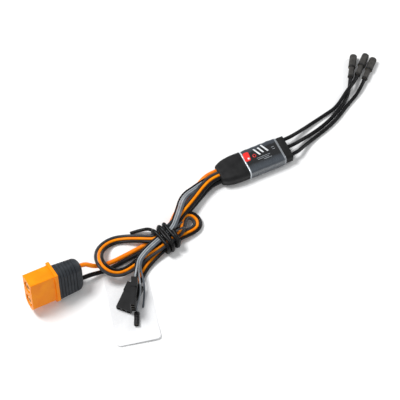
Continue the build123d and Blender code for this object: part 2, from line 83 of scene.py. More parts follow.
bpy.ops.object.select_all(action="DESELECT")
bpy.ops.mesh.primitive_plane_add(size=6, location=(0, 0, 0))
table = bpy.context.object
table.name = "table_top"
table_white = bpy.data.materials.new("table white")
table_white.use_nodes = True
nodes, links = table_white.node_tree.nodes, table_white.node_tree.links
surface = nodes["Principled BSDF"]
surface.inputs["Roughness"].default_value = 0.6
surface.inputs["Specular IOR Level"].default_value = 0.2
spot = nodes.new("ShaderNodeTexCoord")
spot.label = "place on the table"
spot.location = (-900, 0)
paint = nodes.new("ShaderNodeTexNoise")
paint.label = "faint unevenness of the paint"
paint.location = (-700, 0)
paint.inputs["Scale"].default_value = 6
tint = nodes.new("ShaderNodeValToRGB")
tint.label = "two near whites"
tint.location = (-450, 0)
tint.color_ramp.elements[0].color = (0.93, 0.935, 0.94, 1)
tint.color_ramp.elements[1].color = (0.95, 0.95, 0.95, 1)
links.new(spot.outputs["Object"], paint.inputs["Vector"])
links.new(paint.outputs["Fac"], tint.inputs["Fac"])
links.new(tint.outputs["Color"], surface.inputs["Base Color"])
table.data.materials.append(table_white)

# ---------------------------------------------------------------- battery leads
# Two silicone covered leads of very fine copper strand, orange for positive and black for
# negative. The cover is extruded, so it is soft, faintly dusty and has no seam.


def insulation(name, colour, deep, roughness, ripple):
    """Extruded covering of a wire: an even colour, a little dust and very fine ripples."""
    material = bpy.data.materials.new(name)
    material.use_nodes = True
    nodes, links = material.node_tree.nodes, material.node_tree.links
    cover = nodes["Principled BSDF"]
    cover.label = "wire covering"
    cover.location = (300, 0)
    cover.inputs["Specular IOR Level"].default_value = 0.17
    cover.inputs["Sheen Weight"].default_value = 0.01
    cover.inputs["Sheen Roughness"].default_value = 0.5

    colour_frame = nodes.new("NodeFrame")
    colour_frame.label = "colour of the covering"
    place = nodes.new("ShaderNodeTexCoord")
    place.label = "place on the wire"
    place.location = (-1100, 0)
    dye = nodes.new("ShaderNodeTexNoise")
    dye.label = "uneven dye"
    dye.location = (-800, 250)
    dye.inputs["Scale"].default_value = 260
    dye.inputs["Detail"].default_value = 3
    tone = nodes.new("ShaderNodeValToRGB")
    tone.label = "deep to full colour"
    tone.location = (-500, 250)
    tone.color_ramp.elements[0].position = 0.3
    tone.color_ramp.elements[0].color = (*deep, 1)
    tone.color_ramp.elements[1].position = 0.65
    tone.color_ramp.elements[1].color = (*colour, 1)
    dust = nodes.new("ShaderNodeTexNoise")
    dust.label = "specks of dust"
    dust.location = (-800, 500)
    dust.inputs["Scale"].default_value = 2400
    dust.inputs["Detail"].default_value = 2
    speck = nodes.new("ShaderNodeMapRange")
    speck.label = "only the strongest specks"
    speck.location = (-500, 500)
    speck.inputs["From Min"].default_value = 0.66
    speck.inputs["From Max"].default_value = 0.8
    speck.inputs["To Max"].default_value = 0.35
    dusty = nodes.new("ShaderNodeMix")
    dusty.label = "dust over dye"
    dusty.data_type = "RGBA"
    dusty.location = (-150, 350)
    dusty.inputs["B"].default_value = (0.5, 0.48, 0.45, 1)

    surface_frame = nodes.new("NodeFrame")
    surface_frame.label = "feel of the covering"
    sheen = nodes.new("ShaderNodeMapRange")
    sheen.label = "duller and shinier stretches"
    sheen.location = (-150, 0)
    sheen.inputs["To Min"].default_value = roughness - 0.08
    sheen.inputs["To Max"].default_value = roughness + 0.12
    ripples = nodes.new("ShaderNodeTexNoise")
    ripples.label = "extrusion ripple"
    ripples.location = (-500, -250)
    ripples.inputs["Scale"].default_value = 1300
    ripples.inputs["Detail"].default_value = 2
    relief = nodes.new("ShaderNodeBump")
    relief.label = "ripple height"
    relief.location = (-150, -250)
    relief.inputs["Strength"].default_value = 0.5
    relief.inputs["Distance"].default_value = ripple
    for node in (dye, tone, dust, speck, dusty):
        node.parent = colour_frame
    for node in (sheen, ripples, relief):
        node.parent = surface_frame

    links.new(place.outputs["Object"], dye.inputs["Vector"])
    links.new(place.outputs["Object"], dust.inputs["Vector"])
    links.new(place.outputs["Object"], ripples.inputs["Vector"])
    links.new(dye.outputs["Fac"], tone.inputs["Fac"])
    links.new(dust.outputs["Fac"], speck.inputs["Value"])
    links.new(speck.outputs["Result"], dusty.inputs["Factor"])
    links.new(tone.outputs["Color"], dusty.inputs["A"])
    links.new(dusty.outputs["Result"], cover.inputs["Base Color"])
    links.new(dye.outputs["Fac"], sheen.inputs["Value"])
    links.new(sheen.outputs["Result"], cover.inputs["Roughness"])
    links.new(ripples.outputs["Fac"], relief.inputs["Height"])
    links.new(relief.outputs["Normal"], cover.inputs["Normal"])
    return material


def lay_wire(name, route, diameter, material):
    """One wire on a smooth line through the air and along the table."""
    line = bpy.data.curves.new(name, "CURVE")
    line.dimensions = "3D"
    spline = line.splines.new("NURBS")
    spline.points.add(len(route) - 1)
    for point, place in zip(spline.points, route):
        point.co = (*place, 1)
    spline.order_u = 3
    spline.use_endpoint_u = True
    line.resolution_u = 8
    line.bevel_depth = diameter / 2
    line.bevel_resolution = 5
    line.use_fill_caps = True
    line.materials.append(material)
    wire = bpy.data.objects.new(name, line)
    bpy.context.scene.collection.objects.link(wire)
    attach(wire, "root")
    return wire


positive_route = [
    (-0.0192, 0.0031, 0.0032), (-0.0232, 0.0031, 0.0032), (-0.0278, 0.0022, 0.0019),
    (-0.0324, -0.0008, 0.0014), (-0.0374, -0.0038, 0.0013), (-0.043, -0.0063, 0.0014),
    (-0.0488, -0.0107, 0.002), (-0.0544, -0.0168, 0.0031), (-0.0632, -0.0192, 0.0031),
    (-0.0686, -0.0197, 0.0019), (-0.0744, -0.02, 0.0013), (-0.0806, -0.0206, 0.0013),
    (-0.086, -0.0215, 0.0021), (-0.0904, -0.022, 0.0033), (-0.0939, -0.0222, 0.005),
    (-0.0964, -0.0224, 0.0072), (-0.0983, -0.0225, 0.0097), (-0.10086, -0.022, 0.01234),
    (-0.10353, -0.02219, 0.01267),
]
negative_route = [
    (-0.0192, -0.0031, 0.0029), (-0.0232, -0.0031, 0.0029), (-0.0276, -0.0042, 0.0018),
    (-0.0324, -0.0066, 0.0013), (-0.0376, -0.0094, 0.0012), (-0.0432, -0.0126, 0.0012),
    (-0.0484, -0.0162, 0.0016), (-0.0538, -0.0191, 0.003), (-0.0626, -0.0215, 0.003),
    (-0.0692, -0.0224, 0.0021), (-0.0756, -0.0227, 0.0013), (-0.082, -0.0233, 0.0012),
    (-0.0882, -0.0242, 0.0015), (-0.0942, -0.0245, 0.0022), (-0.09946, -0.02419, 0.00362),
    (-0.10441, -0.02453, 0.00423),
]
orange_silicone = insulation("orange silicone", (1.0, 0.26, 0.0), (0.88, 0.18, 0.0), 0.42, 0.00002)
black_silicone = insulation("black silicone", (0.008, 0.008, 0.009), (0.004, 0.004, 0.0045), 0.34, 0.00002)
battery_diameter = 0.0022
positive = lay_wire("battery_wire_orange", positive_route, battery_diameter, orange_silicone)
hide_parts("battery_lead_positive")
negative = lay_wire("battery_wire_black", negative_route, battery_diameter, black_silicone)
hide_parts("battery_lead_negative")

# ---------------------------------------------------------------- throttle lead
# Three thinner wires in grey, orange and black, run side by side as one flat servo lead. It
# is longer than it needs to be, so it is folded back twice and held by the tie.


def beside(route, offset, last=None):
    """The route of a wire that lies to the left of another by an offset, in plan."""
    shifted = []
    for i, (x, y, z) in enumerate(route):
        x0, y0 = route[max(i - 1, 0)][:2]
        x1, y1 = route[min(i + 1, len(route) - 1)][:2]
        into = math.atan2(y - y0, x - x0) if i > 0 else math.atan2(y1 - y, x1 - x)
        out = math.atan2(y1 - y, x1 - x) if i < len(route) - 1 else into
        turn = (out - into + math.pi) % (2 * math.pi) - math.pi
        side = into + turn / 2 + math.pi / 2
        reach = offset / math.cos(turn / 2)
        if last is not None and i == len(route) - 1:
            reach = last
        shifted.append((x + reach * math.cos(side), y + reach * math.sin(side), z))
    return shifted


throttle_route = [
    (-0.0192, -0.0006, 0.0049), (-0.0232, -0.0006, 0.0049), (-0.029, -0.003, 0.0048),
    (-0.0346, -0.0064, 0.0046), (-0.0398, -0.0095, 0.0048), (-0.0452, -0.0126, 0.0054),
    (-0.0496, -0.0156, 0.0059), (-0.0542, -0.0178, 0.0053), (-0.0587, -0.01905, 0.00545),
    (-0.0632, -0.0202, 0.0052), (-0.0666, -0.0184, 0.0047), (-0.0706, -0.0154, 0.0031),
    (-0.0754, -0.0123, 0.0016), (-0.0806, -0.0104, 0.001), (-0.0856, -0.011, 0.0018),
    (-0.0899, -0.0139, 0.0039), (-0.0924, -0.0182, 0.0066), (-0.0932, -0.0225, 0.0086),
    (-0.0924, -0.0264, 0.0086), (-0.0899, -0.0292, 0.0071), (-0.0862, -0.0302, 0.0052),
    (-0.0816, -0.0294, 0.0036), (-0.0766, -0.0278, 0.0028), (-0.0712, -0.0262, 0.0032),
    (-0.0663, -0.0254, 0.0039), (-0.0617, -0.0247, 0.0044), (-0.0573, -0.0234, 0.00455),
    (-0.0529, -0.0223, 0.0044), (-0.0495, -0.0206, 0.0043), (-0.0474, -0.0172, 0.004),
    (-0.0455, -0.0146, 0.0037), (-0.0427, -0.0137, 0.0032), (-0.0404, -0.0152, 0.0024),
    (-0.0394, -0.018, 0.0018), (-0.0407, -0.0209, 0.0016), (-0.0439, -0.0221, 0.0019),
    (-0.0482, -0.0225, 0.0024), (-0.0527, -0.023, 0.0029), (-0.0571, -0.02415, 0.00305),
    (-0.0615, -0.0254, 0.0029), (-0.0662, -0.027, 0.002), (-0.071, -0.0291, 0.0014),
    (-0.075, -0.0317, 0.0014), (-0.0783, -0.0348, 0.0018), (-0.0814, -0.0377, 0.00185),
]
servo_diameter = 0.0015
servo_pitch = 0.00156
servo_last = 0.0018
grey_vinyl = insulation("grey vinyl", (0.042, 0.045, 0.051), (0.026, 0.028, 0.032), 0.3, 0.000012)
orange_vinyl = insulation("orange vinyl", (1.0, 0.3, 0.0), (0.88, 0.21, 0.0), 0.38, 0.000012)
black_vinyl = insulation("black vinyl", (0.007, 0.007, 0.008), (0.0035, 0.0035, 0.004), 0.32, 0.000012)
throttle_wires = [
    ("grey", -servo_pitch, -servo_last, grey_vinyl, 0.2015, "grey_wire"),
    ("orange", 0.0, None, orange_vinyl, 0.2005, "orange_wire"),
    ("black", servo_pitch, servo_last, black_vinyl, 0.1995, "black_wire"),
]
for colour, offset, last, material, length, slot in throttle_wires:
    route = beside(throttle_route, offset, last)
    wire = lay_wire(f"servo_wire_{colour}", route, servo_diameter, material)
    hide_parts(f"throttle_wire_{colour}")

# ---------------------------------------------------------------- thin auxiliary wires
# Four hair-thin wires for settings and telemetry, laid as a ribbon over the leads. Two end in
# a flat plug, one in a short round end, and one is bare.
auxiliary_route = [
    (-0.0192, 0.0, 0.0032), (-0.0232, 0.0, 0.0032), (-0.0284, -0.0004, 0.0035),
    (-0.0338, -0.0017, 0.0034), (-0.0386, -0.0033, 0.0046), (-0.0424, -0.0062, 0.0059),
    (-0.0454, -0.01, 0.0068), (-0.0486, -0.0139, 0.0074), (-0.0537, -0.0194, 0.0066),
    (-0.0625, -0.0218, 0.0066), (-0.0674, -0.0234, 0.0058), (-0.0716, -0.025, 0.005),
    (-0.0752, -0.0274, 0.0048),
]
auxiliary_ends = {
    "black": [
        (-0.0788, -0.0311, 0.0046), (-0.0801, -0.03475, 0.0049), (-0.08175, -0.03795, 0.00506),
    ],
    "silver": [
        (-0.0778, -0.0312, 0.006), (-0.0801, -0.03475, 0.0073), (-0.08175, -0.03795, 0.0076),
    ],
    "single": [
        (-0.0772, -0.0318, 0.0047), (-0.0786, -0.0358, 0.0044), (-0.0799, -0.0402, 0.0042),
        (-0.0817, -0.0439, 0.0039), (-0.0838, -0.0464, 0.0025), (-0.0855, -0.0486, 0.0016),
        (-0.0867, -0.0512, 0.00155),
    ],
    "slate": [
        (-0.0762, -0.032, 0.0046), (-0.077, -0.0364, 0.0044), (-0.0781, -0.0408, 0.0039),
        (-0.0797, -0.0442, 0.0024), (-0.0813, -0.0469, 0.0011), (-0.0828, -0.0496, 0.0008),
    ],
}
thin_diameter = 0.0009
thin_pitch = 0.00096
light_vinyl = insulation("light grey vinyl", (0.36, 0.385, 0.41), (0.25, 0.27, 0.29), 0.36, 0.00001)
slate_vinyl = insulation("slate vinyl", (0.1, 0.115, 0.135), (0.07, 0.08, 0.095), 0.4, 0.00001)
auxiliary_kinds = {
    "black": (black_vinyl, "black_wire", 0.078, "plug",
              ["auxiliary_plug_housing", "auxiliary_plug_contacts"]),
    "silver": (light_vinyl, "grey_wire", 0.0775, "plug", ["auxiliary_plug_housing"]),
    "single": (light_vinyl, "black_wire", 0.0905, "plug", ["single_plug_housing", "single_plug_contact"]),
    "slate": (slate_vinyl, "grey_wire", 0.0865, "bare", []),
}
for i, (kind, (material, slot, length, far_end, on_it)) in enumerate(auxiliary_kinds.items()):
    route = beside(auxiliary_route, (i - 1.5) * thin_pitch) + auxiliary_ends[kind]
    wire = lay_wire(f"thin_wire_{kind}", route, thin_diameter, material)
    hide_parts(f"auxiliary_wire_{kind}")

# ---------------------------------------------------------------- motor leads
# Three black silicone leads, one to each phase of the motor. They fan out of the end seal and
# come together at their sockets, where one crosses over its neighbour.
motor_routes = {
    "a": [
        (0.0192, 0.005, 0.0042), (0.0226, 0.005, 0.0042), (0.028, 0.0065, 0.0028),
        (0.0342, 0.0082, 0.0017), (0.0408, 0.0099, 0.0012), (0.0476, 0.0114, 0.0011),
        (0.0536, 0.0127, 0.0012), (0.0582, 0.0152, 0.002), (0.0626, 0.018, 0.0032),
        (0.0662, 0.02, 0.0039), (0.0699, 0.0222, 0.0026), (0.0734, 0.0255, 0.00205),
    ],
    "b": [
        (0.0192, 0.0002, 0.0042), (0.0226, 0.0002, 0.0042), (0.0284, 0.0019, 0.0026),
        (0.0348, 0.0035, 0.0014), (0.0414, 0.0052, 0.0011), (0.0474, 0.0073, 0.0011),
        (0.053, 0.01, 0.0011), (0.0582, 0.0129, 0.0011), (0.0628, 0.0166, 0.001),
        (0.0662, 0.0206, 0.0011), (0.0677, 0.0233, 0.0018), (0.0695, 0.0259, 0.002),
    ],
    "c": [
        (0.0192, -0.0046, 0.0042), (0.0224, -0.0046, 0.0042), (0.0264, -0.0026, 0.0029),
        (0.0312, -0.0006, 0.0016), (0.0366, 0.0013, 0.0011), (0.0426, 0.003, 0.0011),
        (0.0484, 0.0051, 0.0011), (0.0539, 0.0079, 0.0011), (0.0586, 0.0107, 0.0011),
        (0.0632, 0.0132, 0.0011), (0.0676, 0.0154, 0.0013), (0.0718, 0.0184, 0.00195),
        (0.0756, 0.0218, 0.00205),
    ],
}
motor_diameter = 0.0019
for key, route in motor_routes.items():
    wire = lay_wire(f"motor_wire_{key}", route, motor_diameter, black_silicone)
    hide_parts(f"motor_lead_{key}")

# ---------------------------------------------------------------- bullet sockets
# A turned and gold plated brass socket is soldered on each motor lead. Two grey shrink sleeves
# cover the socket and the joint, with a black band at the step and a black collar at the wire.


def plated(name, colour, tarnish, roughness, scale):
    """Thin bright plating over brass, with darker tarnish and fine turning marks."""
    material = bpy.data.materials.new(name)
    material.use_nodes = True
    nodes, links = material.node_tree.nodes, material.node_tree.links
    metal = nodes["Principled BSDF"]
    metal.label = "plated metal"
    metal.location = (300, 0)
    metal.inputs["Metallic"].default_value = 1.0
    place = nodes.new("ShaderNodeTexCoord")
    place.label = "place on the metal"
    place.location = (-900, 0)
    film = nodes.new("ShaderNodeTexNoise")
    film.label = "tarnish"
    film.location = (-650, 200)
    film.inputs["Scale"].default_value = scale
    film.inputs["Detail"].default_value = 4
    tone = nodes.new("ShaderNodeValToRGB")
    tone.label = "tarnish to bright"
    tone.location = (-350, 200)
    tone.color_ramp.elements[0].position = 0.35
    tone.color_ramp.elements[0].color = (*tarnish, 1)
    tone.color_ramp.elements[1].position = 0.6
    tone.color_ramp.elements[1].color = (*colour, 1)
    shine = nodes.new("ShaderNodeMapRange")
    shine.label = "tarnish is duller"
    shine.location = (-350, -50)
    shine.inputs["To Min"].default_value = roughness + 0.2
    shine.inputs["To Max"].default_value = roughness
    marks = nodes.new("ShaderNodeTexNoise")
    marks.label = "tool marks"
    marks.location = (-650, -300)
    marks.inputs["Scale"].default_value = scale * 12
    relief = nodes.new("ShaderNodeBump")
    relief.label = "depth of the tool marks"
    relief.location = (-350, -300)
    relief.inputs["Strength"].default_value = 0.3
    relief.inputs["Distance"].default_value = 0.00001
    links.new(place.outputs["Object"], film.inputs["Vector"])
    links.new(place.outputs["Object"], marks.inputs["Vector"])
    links.new(film.outputs["Fac"], tone.inputs["Fac"])
    links.new(tone.outputs["Color"], metal.inputs["Base Color"])
    links.new(film.outputs["Fac"], shine.inputs["Value"])
    links.new(shine.outputs["Result"], metal.inputs["Roughness"])
    links.new(marks.outputs["Fac"], relief.inputs["Height"])
    links.new(relief.outputs["Normal"], metal.inputs["Normal"])
    return material


def shrunk(name, colour, bloom, roughness, wrinkle, scale):
    """Shrunk or moulded rubbery plastic: a cloudy bloom, fine pores and shallow wrinkles."""
    material = bpy.data.materials.new(name)
    material.use_nodes = True
    nodes, links = material.node_tree.nodes, material.node_tree.links
    skin = nodes["Principled BSDF"]
    skin.label = "rubbery skin"
    skin.location = (400, 0)
    skin.inputs["Specular IOR Level"].default_value = 0.16
    skin.inputs["Sheen Weight"].default_value = 0.03
    skin.inputs["Sheen Roughness"].default_value = 0.6
    place = nodes.new("ShaderNodeTexCoord")
    place.label = "place on the piece"
    place.location = (-1100, 0)

    bloom_frame = nodes.new("NodeFrame")
    bloom_frame.label = "pale bloom on the skin"
    cloud = nodes.new("ShaderNodeTexNoise")
    cloud.label = "clouds of bloom"
    cloud.location = (-800, 300)
    cloud.inputs["Scale"].default_value = scale
    cloud.inputs["Detail"].default_value = 5
    tone = nodes.new("ShaderNodeValToRGB")
    tone.label = "bare to bloomed"
    tone.location = (-500, 300)
    tone.color_ramp.elements[0].position = 0.38
    tone.color_ramp.elements[0].color = (*colour, 1)
    tone.color_ramp.elements[1].position = 0.75
    tone.color_ramp.elements[1].color = (*bloom, 1)
    dull = nodes.new("ShaderNodeMapRange")
    dull.label = "bloom is duller"
    dull.location = (-500, 50)
    dull.inputs["To Min"].default_value = roughness - 0.1
    dull.inputs["To Max"].default_value = roughness + 0.15

    relief_frame = nodes.new("NodeFrame")
    relief_frame.label = "pores and wrinkles"
    pores = nodes.new("ShaderNodeTexNoise")
    pores.label = "pores"
    pores.location = (-800, -200)
    pores.inputs["Scale"].default_value = 3200
    folds = nodes.new("ShaderNodeTexNoise")
    folds.label = "shallow wrinkles"
    folds.location = (-800, -450)
    folds.inputs["Scale"].default_value = scale * 1.7
    folds.inputs["Distortion"].default_value = 0.8
    pore_height = nodes.new("ShaderNodeBump")
    pore_height.label = "pore depth"
    pore_height.location = (-450, -200)
    pore_height.inputs["Strength"].default_value = 0.35
    pore_height.inputs["Distance"].default_value = 0.00002
    fold_height = nodes.new("ShaderNodeBump")
    fold_height.label = "wrinkle height"
    fold_height.location = (-150, -350)
    fold_height.inputs["Strength"].default_value = 0.6
    fold_height.inputs["Distance"].default_value = wrinkle
    for node in (cloud, tone, dull):
        node.parent = bloom_frame
    for node in (pores, folds, pore_height, fold_height):
        node.parent = relief_frame

    links.new(place.outputs["Object"], cloud.inputs["Vector"])
    links.new(place.outputs["Object"], pores.inputs["Vector"])
    links.new(place.outputs["Object"], folds.inputs["Vector"])
    links.new(cloud.outputs["Fac"], tone.inputs["Fac"])
    links.new(tone.outputs["Color"], skin.inputs["Base Color"])
    links.new(cloud.outputs["Fac"], dull.inputs["Value"])
    links.new(dull.outputs["Result"], skin.inputs["Roughness"])
    links.new(pores.outputs["Fac"], pore_height.inputs["Height"])
    links.new(folds.outputs["Fac"], fold_height.inputs["Height"])
    links.new(pore_height.outputs["Normal"], fold_height.inputs["Normal"])
    links.new(fold_height.outputs["Normal"], skin.inputs["Normal"])
    return material


def edit(piece):
    """Open one piece, and nothing else, for work on its mesh."""
    if bpy.context.object and bpy.context.object.mode != "OBJECT":
        bpy.ops.object.mode_set(mode="OBJECT")
    bpy.ops.object.select_all(action="DESELECT")
    piece.select_set(True)
    bpy.context.view_layer.objects.active = piece
    bpy.ops.object.mode_set(mode="EDIT")
    bpy.ops.mesh.select_all(action="DESELECT")


def pick(piece, kind, test):
    """Select the faces, edges or vertices of the open piece that pass a test."""
    bpy.ops.mesh.select_mode(type=kind)
    bpy.ops.mesh.select_all(action="DESELECT")
    shape = bmesh.from_edit_mesh(piece.data)
    for part in {"VERT": shape.verts, "EDGE": shape.edges, "FACE": shape.faces}[kind]:
        if test(part):
            part.select = True
    shape.select_flush_mode()
    bmesh.update_edit_mesh(piece.data)


def along_x(edge):
    """True for an edge that runs along the part."""
    a, b = (vertex.co for vertex in edge.verts)
    return abs(a.x - b.x) > 0.9 * (a - b).length


def thicken(skin, thickness, sharp_angle):
    """Give a thin skin its wall, inwards, and soften what is not a sharp edge."""
    wall = skin.modifiers.new("wall", "SOLIDIFY")
    wall.thickness = thickness
    wall.offset = -1
    soft = skin.modifiers.new("soft edges", "SUBSURF")
    soft.levels = 1
    soft.render_levels = 1
    bpy.ops.object.modifier_apply(modifier="wall")
    bpy.ops.object.modifier_apply(modifier="soft edges")
    bpy.ops.object.shade_smooth_by_angle(angle=math.radians(sharp_angle))


def coat(names, material):
    """Give parts that keep their made shapes their finish."""
    for name in names:
        for material_slot in cad[name].material_slots:
            material_slot.material = material


def shrink_sleeve(name, start, end, outside, bore, material):
    """A short sleeve along X: a tube with both ends rolled in over what it grips."""
    bpy.ops.object.select_all(action="DESELECT")
    bpy.ops.mesh.primitive_cylinder_add(
        vertices=40, radius=outside / 2, depth=end - start, end_fill_type="NOTHING",
        location=((start + end) / 2, 0, 0), rotation=(0, math.pi / 2, 0))
    sleeve = bpy.context.object
    sleeve.name = name
    bpy.ops.object.transform_apply(location=True, rotation=True, scale=True)
    edit(sleeve)
    pick(sleeve, "EDGE", along_x)
    bpy.ops.mesh.subdivide(number_cuts=9)
    length = end - start
    mesh = bmesh.from_edit_mesh(sleeve.data)
    for vertex in mesh.verts:
        share = (vertex.co.x - start) / length
        to_end = min(share, 1 - share) * length
        around = math.atan2(vertex.co.z, vertex.co.y)
        roll = 1 - 0.07 * max(0, 1 - to_end / 0.0007) ** 2
        slack = 1 - 0.012 * (1 + math.sin(3 * around + 9 * share)) * math.sin(math.pi * share)
        vertex.co.y *= roll * slack
        vertex.co.z *= roll * slack
    bmesh.update_edit_mesh(sleeve.data)
    bpy.ops.object.mode_set(mode="OBJECT")
    thicken(sleeve, (outside - bore) / 2 * 0.9, 50)
    sleeve.data.materials.append(material)
    return sleeve


def copy_to(original, name, place, turn):
    """A copy with a mesh of its own, turned about Z and set in place, origin left at zero."""
    mesh = original.data.copy()
    mesh.transform(Matrix.Translation(place) @ Matrix.Rotation(turn, 4, "Z"))
    copy = bpy.data.objects.new(name, mesh)
    bpy.context.scene.collection.objects.link(copy)
    return copy


grey_shrink = shrunk("grey shrink sleeve", (0.036, 0.034, 0.032), (0.07, 0.066, 0.062), 0.48, 0.00004, 500)
black_shrink = shrunk("black shrink sleeve", (0.012, 0.012, 0.012), (0.03, 0.03, 0.03), 0.45, 0.00003, 500)
gold = plated("gold plating", (0.95, 0.68, 0.28), (0.55, 0.36, 0.13), 0.22, 350)
bullet_split = 0.0064
bullet_end = 0.0142
collar_length = 0.0011
front_pattern = shrink_sleeve("front_pattern", bullet_split, bullet_end, 0.0039, 0.0031, grey_shrink)
tail_pattern = shrink_sleeve("tail_pattern", 0.0, bullet_split + 0.0006, 0.0029, 0.0024, grey_shrink)
band_pattern = shrink_sleeve(
    "band_pattern", bullet_split - 0.0002, bullet_split + 0.0009, 0.00405, 0.0031, black_shrink)
collar_pattern = shrink_sleeve("collar_pattern", 0.0, collar_length, 0.0032, 0.0026, black_shrink)
for key, route in motor_routes.items():
    before, end = Vector(route[-2]), Vector(route[-1])
    turn = math.atan2(end.y - before.y, end.x - before.x)
    front = copy_to(front_pattern, f"front_sleeve_{key}", end, turn)
    tail = copy_to(tail_pattern, f"tail_sleeve_{key}", end, turn)
    band = copy_to(band_pattern, f"black_band_{key}", end, turn)
    collar = copy_to(collar_pattern, f"black_collar_{key}", end, turn)
    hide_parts(f"bullet_front_sleeve_{key}")
    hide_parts(f"bullet_tail_sleeve_{key}")
    for piece in (front, tail, band, collar):
        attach(piece, "root")
    coat([f"bullet_socket_{key}"], gold)
for pattern in (front_pattern, tail_pattern, band_pattern, collar_pattern):
    bpy.data.objects.remove(pattern)

# ---------------------------------------------------------------- wire tie
# A steel wire with a fat black plastic coat, wound five times round the bundle by hand and
# twisted off. Its turns lie unevenly, one end points away and two bare ends curl up.
tie_middle = Vector((-0.0578, -0.0217, 0.00445))
tie_heading = math.radians(195)
tie_diameter = 0.0018
tie_tail_diameter = 0.0017
tie_hook_diameter = 0.001
tie_along = Vector((math.cos(tie_heading), math.sin(tie_heading), 0))
tie_across = Vector((-tie_along.y, tie_along.x, 0))
turn_half_width = 0.00625
turn_half_height = 0.0034
turn_starts = [-0.0039, -0.0022, -0.0003, 0.0014, 0.0032, 0.0041]
turn_slants = [0.0006, -0.0004, 0.0007, -0.0005, 0.0003]
turn_swells = [1.0, 1.06, 0.99, 1.07, 1.01]
corner_shape = [(0, 1), (0.55, 1.0), (0.93, 0.82), (1.04, 0), (0.93, -0.82), (0.55, -0.98), (0, -0.99),
                (-0.55, -0.98), (-0.93, -0.82), (-1.04, 0), (-0.93, 0.82), (-0.55, 1.0)]
tie_route = []
for n, (slant, swell) in enumerate(zip(turn_slants, turn_swells)):
    for i, (across, up) in enumerate(corner_shape):
        share = i / len(corner_shape)
        start = turn_starts[n] + (turn_starts[n + 1] - turn_starts[n]) * share
        offset = tie_along * (start + slant * across)
        offset += tie_across * (across * turn_half_width * swell)
        height = tie_middle.z + up * turn_half_height * (swell if up > 0 else 1)
        place = tie_middle + offset
        tie_route.append((place.x, place.y, height))
coated_wire = insulation("coated tie wire", (0.006, 0.006, 0.0065), (0.003, 0.003, 0.003), 0.32, 0.00003)
winding = lay_wire("tie_winding", tie_route, tie_diameter, coated_wire)
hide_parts("lead_tie")
tail_route = [
    (-0.0623, -0.0151, 0.0044), (-0.0634, -0.013, 0.0036), (-0.0662, -0.0116, 0.0023),
    (-0.0694, -0.0106, 0.0014), (-0.0724, -0.0102, 0.0011),
]
tail = lay_wire("tie_loose_tail", tail_route, tie_tail_diameter, coated_wire)
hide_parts("tie_tail")
hook_routes = [
    [
        (-0.0533, -0.02045, 0.0079), (-0.0506, -0.01975, 0.0079), (-0.048, -0.0184, 0.0075),
    ],
    [
        (-0.0529, -0.02205, 0.0079), (-0.0502, -0.02135, 0.0078), (-0.0474, -0.0213, 0.007),
    ],
]
bare_steel = plated("cut steel wire", (0.12, 0.125, 0.13), (0.06, 0.06, 0.065), 0.36, 600)
for i, route in enumerate(hook_routes):
    lay_wire(f"tie_hook_{i}", route, tie_hook_diameter, bare_steel)
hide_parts("tie_hooks")

# ---------------------------------------------------------------- printed sleeve
# The controller's sleeve is clear film, printed black from inside, shrunk over the boards at
# the works. The print stops short of the ends: at the boot end the bare film shows as a pale rim, and at
# the motor end a grey band of bare film ends in a bright stripe, a painted highlight.
low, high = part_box("heat_shrink_sleeve")
bpy.ops.object.select_all(action="DESELECT")
bpy.ops.mesh.primitive_cube_add(size=1, location=(low + high) / 2, scale=high - low)
film = bpy.context.object
film.name = "printed_film"
bpy.ops.object.transform_apply(location=True, rotation=True, scale=True)
edit(film)
pick(film, "EDGE", along_x)
film_rounding = 0.0015
bpy.ops.mesh.bevel(offset=film_rounding, offset_type="OFFSET", segments=6, affect="EDGES")
pick(film, "FACE", lambda face: abs(face.normal.x) > 0.9)
bpy.ops.mesh.delete(type="FACE")
pick(film, "EDGE", lambda edge: not along_x(edge) and edge.calc_length() > 0.003)
bpy.ops.mesh.subdivide(number_cuts=9)
pick(film, "EDGE", along_x)
bpy.ops.mesh.subdivide(number_cuts=30)
shape = bmesh.from_edit_mesh(film.data)
film_length = high.x - low.x
half_width = (high.y - low.y) / 2
middle_z = (high.z + low.z) / 2
for vertex in shape.verts:
    share = (vertex.co.x - low.x) / film_length
    side = abs(vertex.co.y) / half_width
    end_pull = max(0, 1 - (high.x - vertex.co.x) / 0.0022) ** 2
    vertex.co.y *= 1 - 0.055 * end_pull - 0.006 * (1 + math.sin(23 * share)) * side
    if vertex.co.z > middle_z:
        vertex.co.z -= 0.0005 * end_pull + 0.00022 * max(0, side - 0.72) * (1 + math.sin(31 * share)) * 3
    else:
        vertex.co.z += 0.0003 * end_pull
bmesh.update_edit_mesh(film.data)
bpy.ops.object.mode_set(mode="OBJECT")
film_thickness = 0.0004
thicken(film, film_thickness, 60)

printed = bpy.data.materials.new("printed film")
printed.use_nodes = True
nodes, links = printed.node_tree.nodes, printed.node_tree.links
gloss = nodes["Principled BSDF"]
gloss.label = "glossy film"
gloss.location = (900, 0)
gloss.inputs["Coat Weight"].default_value = 0.8
gloss.inputs["Coat Roughness"].default_value = 0.08
gloss.inputs["Specular IOR Level"].default_value = 0.5
print_frame = nodes.new("NodeFrame")
print_frame.label = "printed bands"
place = nodes.new("ShaderNodeTexCoord")
place.label = "place on the sleeve"
place.location = (-1400, 0)
axes = nodes.new("ShaderNodeSeparateXYZ")
axes.label = "along, across, up"
axes.location = (-1200, 0)
smear = nodes.new("ShaderNodeTexNoise")
smear.label = "uneven print edge"
smear.location = (-1200, 300)
smear.inputs["Scale"].default_value = 420
smear.inputs["Detail"].default_value = 3
wander = nodes.new("ShaderNodeMath")
wander.label = "across, with a wandering edge"
wander.operation = "MULTIPLY_ADD"
wander.location = (-950, 150)
wander.inputs[1].default_value = 0.0016
across_band = nodes.new("ShaderNodeValToRGB")
across_band.label = "silver edge, black field, blue-grey edge"
across_band.location = (-450, 150)
band_elements = across_band.color_ramp.elements
band_elements[0].position = 0.0
